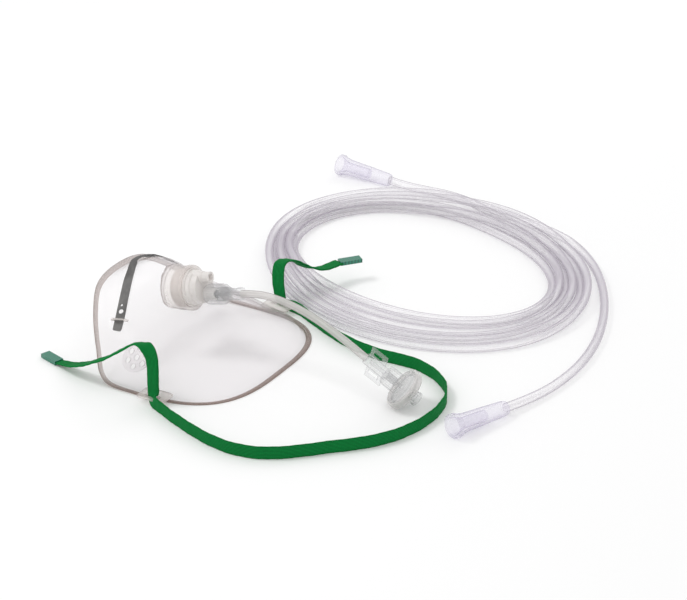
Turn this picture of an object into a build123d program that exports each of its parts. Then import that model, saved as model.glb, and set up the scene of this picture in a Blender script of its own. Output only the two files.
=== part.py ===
from build123d import *
import functools
import math
import os

# Adult oxygen mask with a gas sampling line, a head strap and a coiled supply tube.
# Millimetres. +X from nose to chin, +Y across the face, +Z up; the rim lies on z = 0.

# ---- driving dimensions: mask shell ----
WALL = 1.3
# level sections of the outer surface, from the rim up:
# height, x of greatest width, nose reach, chin reach, half width, nose and chin squareness
LEVELS = [
    (0, -8, -48, 50.5, 58.5, 3.6, 3.2),
    (6, -22, -50, 47.5, 55.5, 3.2, 3.2),
    (12, -29, -52, 41, 49.5, 3.0, 3.0),
    (18, -34, -54, 30, 44, 3.0, 2.8),
    (23, -38, -56, 8, 39, 3.0, 2.4),
    (28, -42, -57, -9, 33, 3.0, 2.4),
    (34, -42, -58, -12.5, 25, 2.5, 3.2),
    (39, -36, -49.5, -13, 18.5, 2.3, 3.2),
    (43, -30, -41.5, -13.5, 13, 2.1, 3.0),
    (46, -25, -34, -15, 8, 2.0, 2.4),
]
SECTION_POINTS = 28
ARCH_FOOT_X = -22          # where the nose arch leaves the rim plane
ARCH_SLOPE = 0.79          # how far the arch leans towards the nose, per mm of height
FLANGE_OUT = 2.2
FLANGE_THICK = 1.2
BAND_OUT = 1.0
BAND_HEIGHT = 4.5
EAR_X = 12
EAR_LENGTH = 17
EAR_REACH = 67.0
EAR_ROOT_Y = 52.0          # inside the shell's wall
EAR_Z = 3.0
EAR_THICK = 1.6
SLOT_LENGTH = 9.0
SLOT_WIDTH = 2.4
SLOT_Y = 63.2
VENT_CENTRE = (-9, 47.4, 14.5)
VENT_NORMAL = (0.0, 0.86, 0.51)
VENT_PAD_R = 8.0
VENT_PAD_PROUD = 0.5
VENT_HOLE_R = 1.6
VENT_PITCH_R = 5.0

# ---- driving dimensions: turret and cap ----
TURRET_TILT = 14.0         # degrees above horizontal, towards the chin
LIP_CENTRE = (-3.0, 0.0, 36.8)
TURRET_R = 12.0
TURRET_FOOT_R = 12.9
TURRET_BORE_R = 10.5
TURRET_LENGTH = 12.5
RUNNING_GAP = 0.08
CAP_STEP_R = 9.6
CAP_FACE_R = 8.4
CAP_REACH = 7.0
CAP_WALL = 1.2
STUB_OFFSET = 6.0
STUB_R = 2.9
STUB_BORE_R = 1.9
STUB_REACH = 13.0
PORT_OFFSET = -3.8
PORT_R = 3.2
PORT_BORE_R = 2.15

# ---- driving dimensions: nose clip ----
CLIP_WIDTH = 5.0
CLIP_THICK = 0.8
CLIP_TOP = (-39.5, 0.0)
CLIP_END = (-26.5, 38.5)
CLIP_GAP = 0.3             # between the strip and the shell
CLIP_BAR_Y = 34.5
CLIP_HOLE_Y = 30.5
CLIP_HOLE_R = 1.3
CLIP_SLOT_Y = 27.5
CLIP_SLOT_R = 0.7
CLIP_BOTTOM_Z = 22.5

# ---- driving dimensions: sampling line ----
NUT_R = 5.4
NUT_BORE_R = 4.0
NUT_START = 8.6
NUT_LENGTH = 13.0
ADAPTER_R = 3.1
ADAPTER_END = 30.5
SAMPLE_TUBE_D = 4.0
LINE_ENTRY = (110.1, -11.7, 28.6)
DISC_CENTRE = (126.6, -0.7, 10.0)
HUB_R = 3.2
HUB_LENGTH = 14.0
WING_SPAN = 10.0
COLLAR_R = 5.2
COLLAR_LENGTH = 8.5
DISC_R = 11.4
DISC_THICK = 5.4
OUTLET_R = 3.6
OUTLET_LENGTH = 6.5

# ---- driving dimensions: strap ----
STRAP_WIDTH = 7.0
STRAP_THICK = 1.0
STRAP_X = 12.5             # where it passes through the ears
STRAP_FLOOR_GAP = 0.3
TIP_WIDTH = 5.5
TIP_LENGTH = 13.0
TIP_THICK = 2.2

# ---- driving dimensions: supply tube ----
SUPPLY_D = 5.0
# the loose coil's outer and inner edges are ovals:
# centre, long and short semi-axis, heading of the long axis in degrees
COIL_OUTER = ((59.8, 147.3), 108.4, 88.3, -28.9)
COIL_INNER = ((52.0, 154.1), 86.6, 59.1, -17.7)
COIL_HEIGHT = 10.5
CUFF_LENGTH = 37.0
CUFF_MOUTH_R = 6.5
CUFF_BODY_R = 5.0
CUFF_TAIL_R = 4.0
CUFF_BORE_R = 3.0
CUFF_BORE_DEPTH = 16.0

# ---- worked-out values ----
TILT = math.radians(TURRET_TILT)
AXIS = Vector(math.cos(TILT), 0, math.sin(TILT))
LIP = Vector(*LIP_CENTRE)
LINE_AXIS = (Vector(*DISC_CENTRE) - Vector(*LINE_ENTRY)).normalized()
HUB_TO_DISC = (Vector(*DISC_CENTRE) - Vector(*LINE_ENTRY)).length
ARCH_LEAN = math.atan(ARCH_SLOPE)
BIG = 300.0


def section(level, grow):
    """Closed plan curve of the outer surface at one level, moved out by grow."""
    z, wide_x, nose_x, chin_x, half, nose_e, chin_e = level
    points = []
    for i in range(SECTION_POINTS):
        angle = 2 * math.pi * i / SECTION_POINTS
        c, s = math.cos(angle), math.sin(angle)
        reach, power = (chin_x - wide_x, chin_e) if c > 0 else (wide_x - nose_x, nose_e)
        x = wide_x + (reach + grow) * math.copysign(abs(c) ** (2 / power), c)
        y = (half + grow) * math.copysign(abs(s) ** (2 / power), s)
        points.append((x, y, z))
    return Face(Wire([Edge.make_spline(points, periodic=True)]))


@functools.lru_cache
def shell_volume(grow, drop=0.0):
    """Filled outer shape of the mask, moved out by grow and lowered by drop."""
    faces = [section(level, grow) for level in LEVELS]
    solid = Solid.make_loft([face.outer_wire() for face in faces])
    foot = extrude(section(LEVELS[0], grow), 6, dir=(0, 0, -1))
    return Pos(0, 0, -drop) * (Part() + solid + foot)


def on_axis(start, direction, along, across=0.0):
    """Plane across a sloping axis, with its x direction along world Y."""
    z_dir = Vector(*direction).normalized()
    x_dir = (Vector(0, 1, 0) - z_dir * z_dir.Y).normalized()
    y_dir = z_dir.cross(x_dir)
    return Plane(origin=Vector(*start) + z_dir * along + y_dir * across, x_dir=x_dir, z_dir=z_dir)


def turned(start, direction, stations, across=0.0):
    """Solid of revolution about an axis through (along, radius) stations."""
    base = on_axis(start, direction, 0, across)
    outline = [(0, stations[0][0])] + [(r, s) for s, r in stations] + [(0, stations[-1][0])]
    profile = make_face(Polyline([(r, 0, s) for r, s in outline], close=True))
    return base.location * revolve(profile, Axis.Z)


def tube_path(name, points):
    """Straight runs joined by the largest arcs that the runs allow."""
    v = [Vector(*p) for p in points]
    radii = []
    for a, b, c in zip(v[:-2], v[1:-1], v[2:]):
        turn = math.radians((b - a).get_angle(c - b))
        run = min((b - a).length, (c - b).length)
        radii.append(0.45 * run / math.tan(turn / 2))
    print(name, "radii", [round(r, 1) for r in radii])
    return FilletPolyline(*points, radius=radii)


def tube(name, points, diameter):
    """Round solid along a route, with its length and volume printed as a check."""
    path = tube_path(name, points)
    start = Plane(origin=path @ 0, z_dir=path % 0)
    solid = sweep(start * Circle(diameter / 2), path=path)
    print(name, "length", round(path.length, 1),
          "volume ratio", round(solid.volume / (math.pi * diameter ** 2 / 4 * path.length), 4))
    return solid


def flat_ribbon(points, floor_z):
    """Strap standing on its edge along a plan route."""
    path = tube_path("strap", [(x, y, 0) for x, y in points])
    start = Plane(origin=path @ 0, x_dir=(0, 0, 1), z_dir=path % 0)
    strip = sweep(start * Rectangle(STRAP_WIDTH, STRAP_THICK), path=path)
    return Pos(0, 0, floor_z + STRAP_WIDTH / 2) * strip


def lying_ribbon(name, points):
    """Strap with its width level, along a route that climbs and falls."""
    path = tube_path(name, points)
    heading = path % 0
    level = Vector(-heading.Y, heading.X, 0).normalized()
    start = Plane(origin=path @ 0, x_dir=level, z_dir=heading)
    return sweep(start * Rectangle(STRAP_WIDTH, STRAP_THICK), path=path)


# ---- mask shell ----
def arch_plane(lift):
    """Plane of the nose arch, raised by lift along its normal."""
    normal = Vector(math.cos(ARCH_LEAN), 0, math.sin(ARCH_LEAN))
    return Plane(origin=Vector(ARCH_FOOT_X, 0, 0) + normal * lift, x_dir=(0, 1, 0), z_dir=normal)


def above_rim():
    """Everything on the shell's side of the nose arch and above the floor."""
    floor = Pos(0, 0, BIG / 2) * Box(BIG, BIG, BIG)
    arch = arch_plane(0).location * Pos(0, 0, BIG / 2) * Box(BIG, BIG, BIG)
    return floor & arch


def turret():
    """Solid round post that holds the inlet cap, with a wider foot in the shell."""
    return turned(LIP, AXIS, [(-TURRET_LENGTH - 6, TURRET_FOOT_R), (-TURRET_LENGTH + 2, TURRET_FOOT_R),
                              (-TURRET_LENGTH + 4.5, TURRET_R), (0, TURRET_R)])


def vent_plane(side):
    """Plane of the exhalation vent on one cheek."""
    x, y, z = VENT_CENTRE
    return Plane(origin=(x, side * y, z), z_dir=(VENT_NORMAL[0], side * VENT_NORMAL[1], VENT_NORMAL[2]))


def mask_shell(clip):
    """Thin shell with its rim, ears, vents, turret and the bars that hold the nose clip."""
    inner = shell_volume(-WALL, WALL * 0.8)
    outer = shell_volume(0)
    wide = shell_volume(FLANGE_OUT)
    banded = shell_volume(BAND_OUT)
    floor_slab = Pos(0, 0, FLANGE_THICK / 2) * Box(BIG, BIG, FLANGE_THICK)
    arch_slab = arch_plane(FLANGE_THICK / 2).location * Box(BIG, BIG, FLANGE_THICK)
    band_slab = Pos(0, 0, BAND_HEIGHT / 2) * Box(BIG, BIG, BAND_HEIGHT)
    skin = outer + (wide & floor_slab) + (wide & arch_slab) + (banded & band_slab)
    skin = skin + (turret() - inner)
    for side in (1, -1):
        reach = EAR_REACH - EAR_ROOT_Y
        middle = side * (EAR_ROOT_Y + reach / 2)
        tab = Pos(EAR_X, middle, EAR_Z + EAR_THICK / 2) * Box(EAR_LENGTH, reach, EAR_THICK)
        pad = shell_volume(VENT_PAD_PROUD) & (vent_plane(side).location * Cylinder(VENT_PAD_R, 12))
        skin = skin + tab + pad + clip_bar(side)
    skin = (skin & above_rim()) - inner
    bore = turned(LIP, AXIS, [(-TURRET_LENGTH - 5, TURRET_BORE_R), (1, TURRET_BORE_R)])
    skin = skin - bore
    for side in (1, -1):
        skin = skin - Pos(EAR_X, side * SLOT_Y, EAR_Z) * Box(SLOT_LENGTH, SLOT_WIDTH, 8)
        vent = vent_plane(side).location
        skin = skin - vent * Cylinder(VENT_HOLE_R, 14)
        for spot in PolarLocations(VENT_PITCH_R, 6):
            skin = skin - vent * spot * Cylinder(VENT_HOLE_R, 14)
    return skin - clip


# ---- nose clip ----
def clip_path_slab(side, width):
    """Upright slab that follows one leg of the clip in plan."""
    top, end = Vector(*CLIP_TOP), Vector(CLIP_END[0], side * CLIP_END[1])
    run = end - top
    heading = math.degrees(math.atan2(run.Y, run.X))
    middle = top + run * 0.5
    round_end = Pos(end.X, end.Y, 25) * Cylinder(width / 2, 60)
    joint = Pos(top.X, top.Y, 25) * Cylinder(width / 2, 60)
    leg = Pos(middle.X, middle.Y, 25) * Rot(0, 0, heading) * Box(run.length, width, 60)
    return leg + joint + round_end


def clip_point(side, y):
    """Plan point of the clip's centre line at a given distance from the middle."""
    k = y / CLIP_END[1]
    return Vector(CLIP_TOP[0] + k * (CLIP_END[0] - CLIP_TOP[0]), side * y, 0)


def clip_bar(side):
    """Small moulded bar that bridges the clip near its end."""
    spot = clip_point(side, CLIP_BAR_Y)
    top = CLIP_GAP + CLIP_THICK
    post = Pos(spot.X, spot.Y, 26) * Rot(0, 0, side * 70) * Box(2.2, CLIP_WIDTH + 4, 12)
    passage = shell_volume(top + 0.2) & clip_path_slab(side, CLIP_WIDTH + 0.6)
    return (shell_volume(top + 1.3) & post) - passage


def nose_clip():
    """Bendable strip over the bridge, with a keyhole near each end."""
    layer = shell_volume(CLIP_GAP + CLIP_THICK) - shell_volume(CLIP_GAP)
    legs = clip_path_slab(1, CLIP_WIDTH) + clip_path_slab(-1, CLIP_WIDTH)
    above = Pos(0, 0, CLIP_BOTTOM_Z + BIG / 2) * Box(BIG, BIG, BIG)
    strip = layer & legs & above
    for side in (1, -1):
        for y, z, radius in ((CLIP_HOLE_Y, 29, CLIP_HOLE_R), (CLIP_SLOT_Y, 31, CLIP_SLOT_R)):
            spot = clip_point(side, y)
            drill = Plane(origin=(spot.X, spot.Y, z), z_dir=(-0.2, side * 0.74, 0.64))
            strip = strip - drill.location * Cylinder(radius, 16)
    return strip


# ---- inlet cap ----
def inlet_cap():
    """Stepped cap that plugs the turret, with the oxygen stub above and the luer port below."""
    skirt_r = TURRET_BORE_R - RUNNING_GAP
    body = turned(LIP, AXIS, [(-8, skirt_r), (1.0, skirt_r), (1.0, CAP_STEP_R), (3.4, CAP_STEP_R),
                              (3.9, CAP_FACE_R + 0.3), (CAP_REACH, CAP_FACE_R)])
    body = body + turned(LIP, AXIS, [(2, STUB_R + 1.2), (CAP_REACH + 1.5, STUB_R + 0.3),
                                     (CAP_REACH + 1.5, STUB_R), (STUB_REACH, STUB_R)], STUB_OFFSET)
    body = body + turned(LIP, AXIS, [(2, PORT_R), (NUT_START + 5.5, PORT_R)], PORT_OFFSET)
    hollow = turned(LIP, AXIS, [(-9, skirt_r - CAP_WALL), (0.6, skirt_r - CAP_WALL),
                                (1.4, CAP_FACE_R - CAP_WALL), (CAP_REACH - CAP_WALL, CAP_FACE_R - CAP_WALL)])
    body = body - hollow
    body = body - turned(LIP, AXIS, [(0, STUB_BORE_R), (STUB_REACH + 1, STUB_BORE_R)], STUB_OFFSET)
    return body - turned(LIP, AXIS, [(0, PORT_BORE_R), (NUT_START + 7, PORT_BORE_R)], PORT_OFFSET)


# ---- luer fitting on the cap ----
def luer_lock_nut():
    """Ribbed collar that turns freely on the adapter."""
    end = NUT_START + NUT_LENGTH
    nut = turned(LIP, AXIS, [(NUT_START, NUT_R - 0.4), (NUT_START + 1, NUT_R), (end - 1.5, NUT_R),
                             (end, NUT_R - 1.0)], PORT_OFFSET)
    bore = turned(LIP, AXIS, [(NUT_START - 1, NUT_BORE_R), (end - 2, NUT_BORE_R),
                              (end - 2, ADAPTER_R + 0.1), (end + 1, ADAPTER_R + 0.1)], PORT_OFFSET)
    nut = nut - bore
    base = on_axis(LIP, AXIS, NUT_START + 5.5, PORT_OFFSET)
    for i in range(12):
        angle = math.radians(30 * i)
        rib = Pos(NUT_R * math.cos(angle), NUT_R * math.sin(angle), 0) * Cylinder(0.45, 8.5)
        nut = nut + base.location * rib
    return nut


def luer_adapter():
    """Male taper in the cap's port, with a shoulder for the nut and a socket for the tube."""
    end = NUT_START + NUT_LENGTH
    body = turned(LIP, AXIS, [(NUT_START + 0.6, 1.95), (NUT_START + 7.4, 2.05), (NUT_START + 7.4, NUT_BORE_R - 0.2),
                              (end - 2.2, NUT_BORE_R - 0.2), (end - 2.2, ADAPTER_R),
                              (ADAPTER_END - 1.6, ADAPTER_R), (ADAPTER_END - 1.6, ADAPTER_R + 0.5),
                              (ADAPTER_END, ADAPTER_R + 0.5)], PORT_OFFSET)
    base = on_axis(LIP, AXIS, ADAPTER_END - 2.5, PORT_OFFSET)
    for side in (1, -1):
        body = body + base.location * Pos(side * 3.3, 0, 0) * Box(1.2, 4.0, 5.0)
    bore = turned(LIP, AXIS, [(NUT_START, 1.0), (end, 1.0)], PORT_OFFSET)
    return body - bore


# ---- fittings on the sampling line ----
def winged_luer():
    """Hub with two windowed wings and a male taper for the filter."""
    hub = turned(LINE_ENTRY, LINE_AXIS, [(0, HUB_R - 0.2), (HUB_LENGTH, HUB_R), (HUB_LENGTH, 2.0),
                                         (HUB_LENGTH + 6.5, 1.9)])
    base = on_axis(LINE_ENTRY, LINE_AXIS, HUB_LENGTH * 0.5)
    for side in (1, -1):
        plate = Pos(side * WING_SPAN * 0.5, 0, 0) * Box(WING_SPAN, 1.1, 10.5)
        window = Pos(side * (HUB_R + 3.2), 0, -0.6) * Box(3.0, 3.0, 6.4)
        hub = hub + base.location * (plate - window)
    return hub - turned(LINE_ENTRY, LINE_AXIS, [(3, 1.0), (HUB_LENGTH + 7, 1.0)])


def filter_inlet_half():
    """Front half of the disc filter, with its ribbed luer collar."""
    start = HUB_LENGTH + 0.4
    face = HUB_TO_DISC - DISC_THICK / 2
    body = turned(LINE_ENTRY, LINE_AXIS, [(start, COLLAR_R), (start + COLLAR_LENGTH, COLLAR_R),
                                          (face, COLLAR_R + 2.2), (face, DISC_R - 1.3), (HUB_TO_DISC - 0.2, DISC_R - 1.3)])
    base = on_axis(LINE_ENTRY, LINE_AXIS, start + COLLAR_LENGTH / 2)
    for i in range(10):
        angle = math.radians(36 * i)
        rib = Pos(COLLAR_R * math.cos(angle), COLLAR_R * math.sin(angle), 0) * Cylinder(0.5, COLLAR_LENGTH - 1.5)
        body = body + base.location * rib
    bore = turned(LINE_ENTRY, LINE_AXIS, [(start - 1, 2.2), (start + 7, 2.1), (start + 7, 1.0), (face + 0.8, 1.0),
                                          (face + 1.2, DISC_R - 3.0), (HUB_TO_DISC + 1, DISC_R - 3.0)])
    return body - bore


def filter_membrane():
    """Thin disc clamped between the two halves."""
    return turned(LINE_ENTRY, LINE_AXIS, [(HUB_TO_DISC - 0.2, DISC_R - 1.5), (HUB_TO_DISC + 0.2, DISC_R - 1.5)])


def filter_outlet_half():
    """Back half of the disc filter, with the outlet stub."""
    back = HUB_TO_DISC + DISC_THICK / 2
    body = turned(LINE_ENTRY, LINE_AXIS, [(HUB_TO_DISC + 0.2, DISC_R - 1.3), (back, DISC_R - 1.3),
                                          (back, OUTLET_R + 0.6), (back + 1, OUTLET_R),
                                          (back + OUTLET_LENGTH - 1.2, OUTLET_R - 0.1),
                                          (back + OUTLET_LENGTH - 1.2, OUTLET_R + 0.3),
                                          (back + OUTLET_LENGTH, OUTLET_R + 0.3)])
    bore = turned(LINE_ENTRY, LINE_AXIS, [(HUB_TO_DISC, DISC_R - 3.0), (back - 1.2, DISC_R - 3.0),
                                          (back - 0.8, 2.1), (back + OUTLET_LENGTH + 1, 2.1)])
    return body - bore


def filter_seal_band():
    """Ring moulded round the two halves."""
    near = HUB_TO_DISC - DISC_THICK / 2 + 0.5
    far = HUB_TO_DISC + DISC_THICK / 2 - 0.5
    ring = turned(LINE_ENTRY, LINE_AXIS, [(near, DISC_R - 0.6), (near + 0.6, DISC_R), (far - 0.6, DISC_R),
                                          (far, DISC_R - 0.6)])
    return ring - turned(LINE_ENTRY, LINE_AXIS, [(near - 1, DISC_R - 1.3), (far + 1, DISC_R - 1.3)])


# ---- cuff connector of the supply tube ----
def cuff_connector(mouth, tail):
    """Soft funnel that pushes onto an oxygen outlet, from its mouth to its tail."""
    direction = Vector(*tail) - Vector(*mouth)
    body = turned(mouth, direction, [(0, CUFF_MOUTH_R), (2.2, CUFF_MOUTH_R), (2.8, CUFF_MOUTH_R - 0.7),
                                     (8, CUFF_BODY_R), (22, CUFF_BODY_R - 0.4), (CUFF_LENGTH - 2, CUFF_TAIL_R + 0.1),
                                     (CUFF_LENGTH, CUFF_TAIL_R - 0.4)])
    bore = turned(mouth, direction, [(-1, CUFF_MOUTH_R - 1.4), (0.6, CUFF_MOUTH_R - 1.6), (6, CUFF_BORE_R),
                                     (6 + CUFF_BORE_DEPTH, CUFF_BORE_R)])
    return body - bore


# ---- cords ----
SAMPLE_ROUTE_MIDDLE = [(37, 0, 42.8), (48.4, -0.6, 43.4), (61.6, -2.7, 42.7), (75.8, -6.6, 41.3), (90.1, -10.5, 38.3),
                       (101.7, -12.5, 34.0)]

STRAP_LOOP_ROUTE = [
    (18, -69), (28, -74), (42, -80), (60, -86.5), (77, -89), (92, -85.5), (105, -76), (118, -62.5), (130, -51.5),
    (140.5, -37), (146.5, -19), (147.5, -1), (144, 14), (136, 26), (123, 35), (109, 39), (93, 37.5), (77, 39.5),
    (60, 45.2), (44, 53.2), (30, 60.8), (22, 65),
]
NEAR_END_ROUTE = [(STRAP_X, -SLOT_Y, 20), (12, -63.1, 29), (5.5, -62, 33.5), (-4.5, -60.4, 28), (-16, -60.8, 19),
                  (-30, -59.4, 11), (-43, -56.4, 4.6), (-56, -52.0, 1.5)]
FAR_END_ROUTE = [(STRAP_X, SLOT_Y, 9), (9, 66, 18), (6.5, 73, 25.5), (8, 84, 22), (11.5, 90.5, 16.5), (17.5, 95, 13.4),
                 (20.5, 103.5, 12.6), (22.7, 111.5, 12.5)]
NEAR_TIP_END = (-69.0, -47.6, 1.3)
FAR_TIP_END = (30.9, 121.6, 12.5)

CUFF_A_MOUTH = (-56.0, 248.0, 6.65)
CUFF_A_HEADING = (37.0, -1.8, -2.4)
CUFF_B_MOUTH = (164.0, -18.0, 6.65)
CUFF_B_HEADING = (12.2, 34.9, -2.4)
LEAD_A_ROUTE = [(-8, 245.7, 3.4), (6, 247.5, 2.6), (20, 248.5, 2.55), (34, 246.5, 2.55), (47, 241, 2.55), (58, 232, 2.55)]
LEAD_B_ROUTE = [(182.5, 36, 2.9), (187, 58, 2.55), (188, 84, 2.55), (184, 112, 2.55), (175.5, 140, 2.55),
                (163, 168, 2.55), (146, 195, 2.55), (126, 216, 2.55), (104, 230, 2.55), (82, 233.5, 2.55),
                (62, 226, 2.55)]


def cuff_tail(mouth, heading):
    """Centre of a connector's tail face."""
    return Vector(*mouth) + Vector(*heading).normalized() * CUFF_LENGTH


def oval(edge):
    centre, long_r, short_r, heading = edge
    return Pos(*centre, 0) * Rot(0, 0, heading) * Ellipse(long_r, short_r)


def supply_coil():
    """Outer shape of the loose oval coil, lying flat, with its turns fanned out at the front."""
    return extrude(oval(COIL_OUTER) - oval(COIL_INNER), COIL_HEIGHT)


def strap_end(name, route, side):
    """Free end of the strap: up through the ear's slot, then over in an arch."""
    height = route[0][2] + 1.0
    upright = Pos(STRAP_X, side * SLOT_Y, height / 2 + STRAP_FLOOR_GAP) * Box(STRAP_WIDTH, STRAP_THICK, height)
    return upright + lying_ribbon(name, route)


def strap_tip(start, end):
    """Crimped end sleeve that starts at the ribbon's end face."""
    run = Vector(*end) - Vector(*start)
    level = Vector(-run.Y, run.X, 0).normalized()
    plane = Plane(origin=Vector(*start), x_dir=level, z_dir=run.normalized())
    return plane.location * Pos(0, 0, TIP_LENGTH / 2) * Box(TIP_WIDTH, TIP_THICK, TIP_LENGTH)


ADAPTER_FACE = on_axis(LIP, AXIS, ADAPTER_END, PORT_OFFSET).origin
SAMPLE_ROUTE = [tuple(ADAPTER_FACE)] + SAMPLE_ROUTE_MIDDLE + [LINE_ENTRY]

clip = nose_clip()
coil = supply_coil()
tail_a = cuff_tail(CUFF_A_MOUTH, CUFF_A_HEADING)
tail_b = cuff_tail(CUFF_B_MOUTH, CUFF_B_HEADING)

nodes = {
    "mask_shell": mask_shell(clip),
    "nose_clip": clip,
    "inlet_cap": inlet_cap(),
    "luer_lock_nut": luer_lock_nut(),
    "luer_adapter": luer_adapter(),
    "sample_tube": tube("sample_tube", SAMPLE_ROUTE, SAMPLE_TUBE_D),
    "winged_luer": winged_luer(),
    "filter_inlet_half": filter_inlet_half(),
    "filter_membrane": filter_membrane(),
    "filter_outlet_half": filter_outlet_half(),
    "filter_seal_band": filter_seal_band(),
    "strap_loop": flat_ribbon(STRAP_LOOP_ROUTE, 0.1),
    "strap_near_end": strap_end("near end", NEAR_END_ROUTE, -1),
    "strap_far_end": strap_end("far end", FAR_END_ROUTE, 1),
    "strap_tip_near": strap_tip(NEAR_END_ROUTE[-1], NEAR_TIP_END),
    "strap_tip_far": strap_tip(FAR_END_ROUTE[-1], FAR_TIP_END),
    "supply_tube_coil": coil,
    "supply_tube_lead_a": tube("lead a", [tuple(tail_a)] + LEAD_A_ROUTE, SUPPLY_D) - coil,
    "supply_tube_lead_b": tube("lead b", [tuple(tail_b)] + LEAD_B_ROUTE, SUPPLY_D) - coil,
    "cuff_connector_a": cuff_connector(CUFF_A_MOUTH, tail_a),
    "cuff_connector_b": cuff_connector(CUFF_B_MOUTH, tail_b),
}

os.makedirs("parts", exist_ok=True)
for name, shape in nodes.items():
    solids = shape.solids()
    result = solids[0] if len(solids) == 1 else Compound(solids)
    export_step(result, f"parts/{name}.step")
    box = result.bounding_box()
    print(f"{name}: {len(solids)} solids, {result.volume:.1f} mm3, "
          f"{box.min.X:.1f}..{box.max.X:.1f}, {box.min.Y:.1f}..{box.max.Y:.1f}, {box.min.Z:.2f}..{box.max.Z:.2f}")
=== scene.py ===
import math

import bmesh
import bpy
import numpy as np
from mathutils import Matrix, Vector
from mathutils.bvhtree import BVHTree


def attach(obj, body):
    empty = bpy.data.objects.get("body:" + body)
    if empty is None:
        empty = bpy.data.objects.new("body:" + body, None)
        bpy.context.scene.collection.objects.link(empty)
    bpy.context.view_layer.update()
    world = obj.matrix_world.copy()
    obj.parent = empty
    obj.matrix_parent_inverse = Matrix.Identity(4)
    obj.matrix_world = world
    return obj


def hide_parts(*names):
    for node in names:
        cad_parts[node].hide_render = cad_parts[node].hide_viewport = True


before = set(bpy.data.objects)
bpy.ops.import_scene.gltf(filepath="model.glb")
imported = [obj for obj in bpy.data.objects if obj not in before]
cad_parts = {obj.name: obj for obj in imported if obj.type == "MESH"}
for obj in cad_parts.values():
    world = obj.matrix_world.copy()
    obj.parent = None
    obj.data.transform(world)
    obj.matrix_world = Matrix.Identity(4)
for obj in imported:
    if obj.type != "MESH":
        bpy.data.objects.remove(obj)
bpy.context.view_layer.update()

MM = 0.001

# ---------------------------------------------------------------- driving values, in millimetres
# Level sections of the mask's outer surface, as in the CAD: height, x of greatest width,
# nose reach, chin reach, half width, nose and chin squareness.
LEVELS = [
    (0, -8, -48, 50.5, 58.5, 3.6, 3.2),
    (6, -22, -50, 47.5, 55.5, 3.2, 3.2),
    (12, -29, -52, 41, 49.5, 3.0, 3.0),
    (18, -34, -54, 30, 44, 3.0, 2.8),
    (23, -38, -56, 8, 39, 3.0, 2.4),
    (28, -42, -57, -9, 33, 3.0, 2.4),
    (34, -42, -58, -12.5, 25, 2.5, 3.2),
    (39, -36, -49.5, -13, 18.5, 2.3, 3.2),
    (43, -30, -41.5, -13.5, 13, 2.1, 3.0),
    (46, -25, -34, -15, 8, 2.0, 2.4),
]
TURRET_TILT = 14.0
LIP_CENTRE = Vector((-3.0, 0.0, 36.8))
PORT_OFFSET = -3.8
LINE_ENTRY = Vector((110.1, -11.7, 28.6))
STRAP_WIDTH = 7.0
STRAP_THICK = 1.0
SUPPLY_D = 5.0
SAMPLE_D = 4.0
CUFF_LENGTH = 37.0

TILT = math.radians(TURRET_TILT)
AXIS = Vector((math.cos(TILT), 0, math.sin(TILT)))
AXIS_UP = Vector((-math.sin(TILT), 0, math.cos(TILT)))


# ---------------------------------------------------------------- small tools
def new_object(name, data, body):
    obj = bpy.data.objects.new(name, data)
    bpy.context.scene.collection.objects.link(obj)
    if body:
        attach(obj, body)
    return obj


def mesh_object(name, points, faces, body, material=None, smooth=True):
    """Object from points in millimetres."""
    mesh = bpy.data.meshes.new(name)
    mesh.from_pydata([tuple(c * MM for c in p) for p in points], [], faces)
    mesh.validate()
    if smooth:
        mesh.shade_smooth()
    obj = new_object(name, mesh, body)
    if material:
        mesh.materials.append(material)
    return obj


def nurbs_line(name, route, radius=0.0):
    """Smooth open curve with the route's points as control points, in metres."""
    data = bpy.data.curves.new(name, "CURVE")
    data.dimensions = "3D"
    spline = data.splines.new("NURBS")
    spline.points.add(len(route) - 1)
    for point, place in zip(spline.points, route):
        point.co = (*place, 1.0)
    spline.order_u = 3
    spline.use_endpoint_u = True
    spline.resolution_u = 10
    data.bevel_depth = radius
    data.bevel_resolution = 6
    data.use_fill_caps = True
    return data


def line_points(route):
    """Points along the smooth line of a route, read back from Blender's own spline."""
    data = nurbs_line("route_reader", route)
    holder = bpy.data.objects.new("route_reader", data)
    mesh = bpy.data.meshes.new_from_object(holder)
    points = [v.co.copy() for v in mesh.vertices]
    bpy.data.objects.remove(holder)
    bpy.data.curves.remove(data)
    bpy.data.meshes.remove(mesh)
    return points


def path_length(points):
    return sum((b - a).length for a, b in zip(points[:-1], points[1:]))


def metres(route):
    return [tuple(c * MM for c in p) for p in route]


# ---------------------------------------------------------------- camera, floor and light
LOOK_AT = Vector((0.0364, 0.0924, 0.0))
VIEW_AZIMUTH = math.radians(30)
VIEW_ELEVATION = math.radians(26)
VIEW_DISTANCE = 1.4


def make_camera():
    data = bpy.data.cameras.new("camera")
    data.lens = 130
    data.sensor_width = 36
    data.clip_start = 0.05
    data.clip_end = 20
    camera = bpy.data.objects.new("camera", data)
    back = Vector((math.sin(VIEW_AZIMUTH) * math.cos(VIEW_ELEVATION),
                   -math.cos(VIEW_AZIMUTH) * math.cos(VIEW_ELEVATION),
                   math.sin(VIEW_ELEVATION)))
    camera.location = LOOK_AT + back * VIEW_DISTANCE
    camera.rotation_euler = (-back).to_track_quat("-Z", "Y").to_euler()
    bpy.context.scene.collection.objects.link(camera)
    bpy.context.scene.camera = camera


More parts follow.
